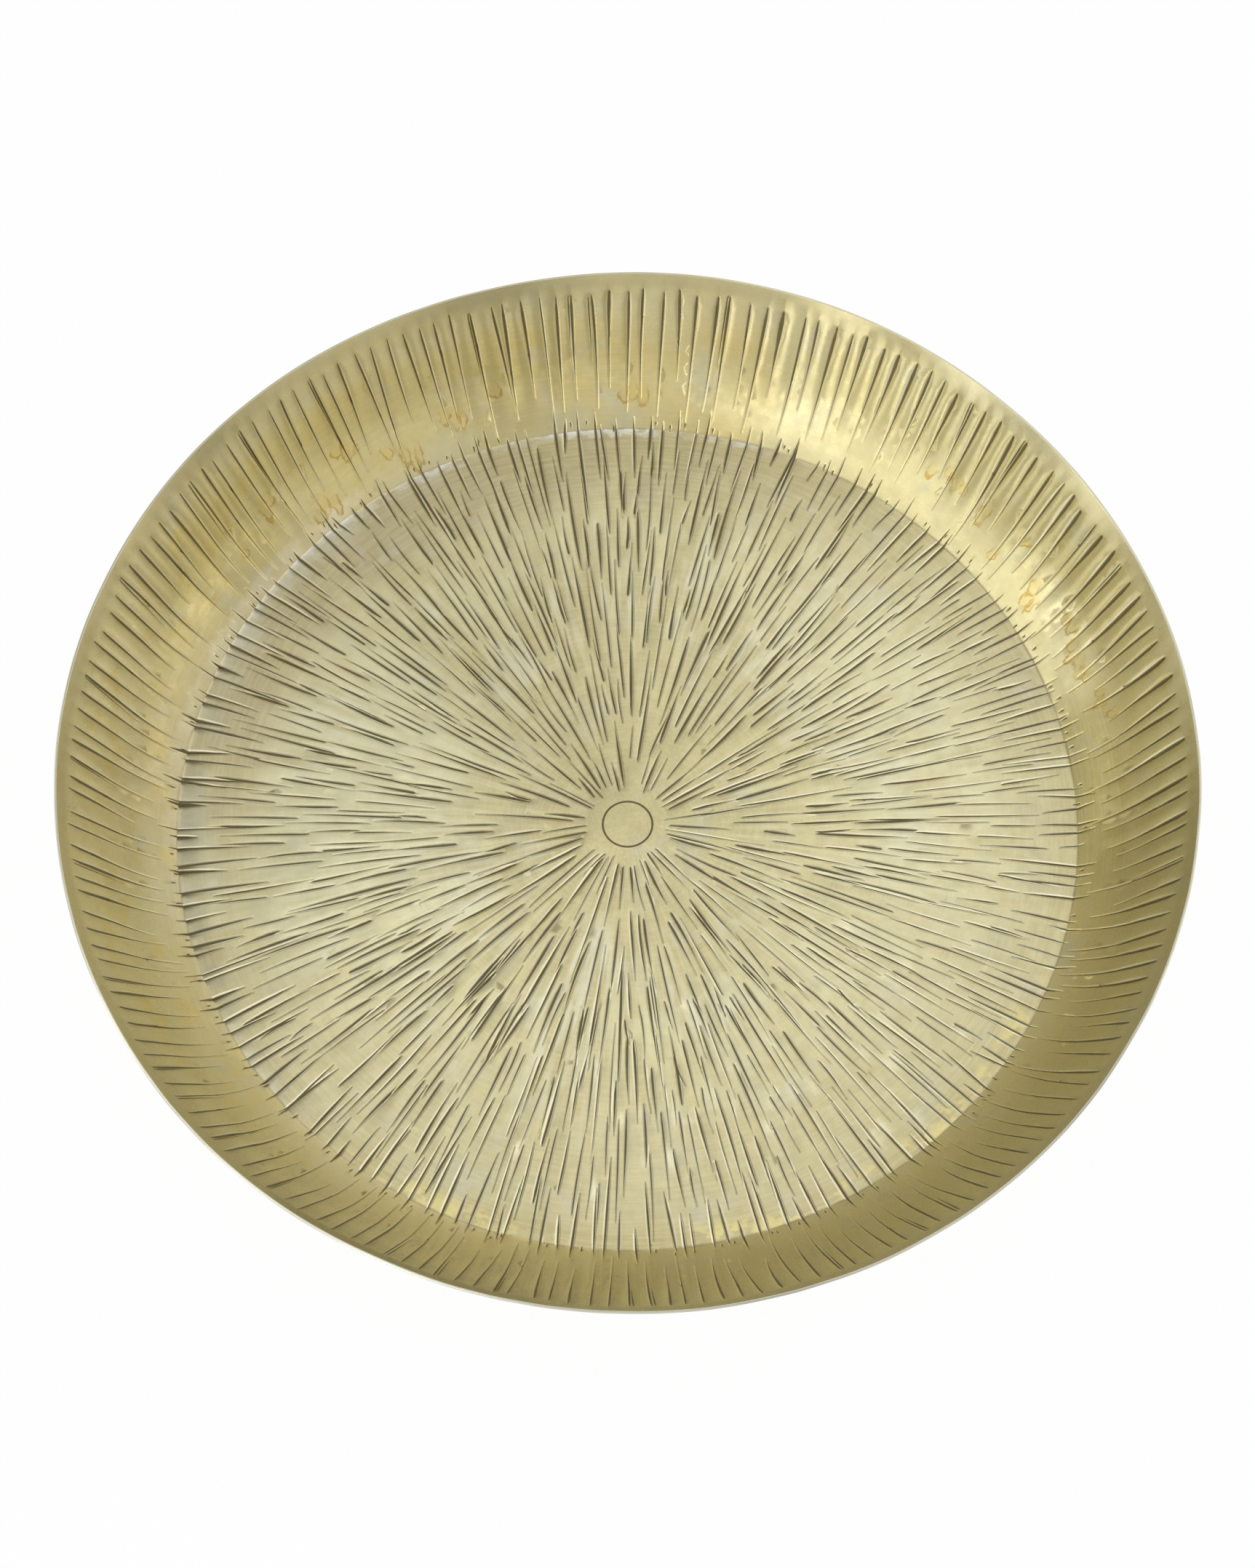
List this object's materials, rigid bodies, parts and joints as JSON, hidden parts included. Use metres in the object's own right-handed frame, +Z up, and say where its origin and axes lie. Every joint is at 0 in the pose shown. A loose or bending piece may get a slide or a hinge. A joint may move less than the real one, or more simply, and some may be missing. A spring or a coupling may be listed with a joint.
{
  "type": "round serving tray",
  "caption": "Round brass serving tray with a flat floor, a flared wall and a plain rim, chased all over with radial chisel marks, on felt pads.",
  "frame": {"origin": "on the tray's axis, at the level of the table it stands on", "axes": "+Z up along the tray's axis, towards its mouth; X and Y lie in the table, between the pads"},
  "size_m": [0.4598, 0.4598, 0.0594],
  "materials": {
    "brass": "aged satin brass, brushed, with dark patina in the chisel marks",
    "felt": "pressed wool felt",
    "adhesive": "matt acrylic film"
  },
  "bodies": {
    "root": {"tray_pan": "brass", "felt_pad_1": "felt", "felt_pad_2": "felt", "felt_pad_3": "felt", "felt_pad_4": "felt", "adhesive_disc_1": "adhesive", "adhesive_disc_2": "adhesive", "adhesive_disc_3": "adhesive", "adhesive_disc_4": "adhesive"}
  },
  "joints": []
}
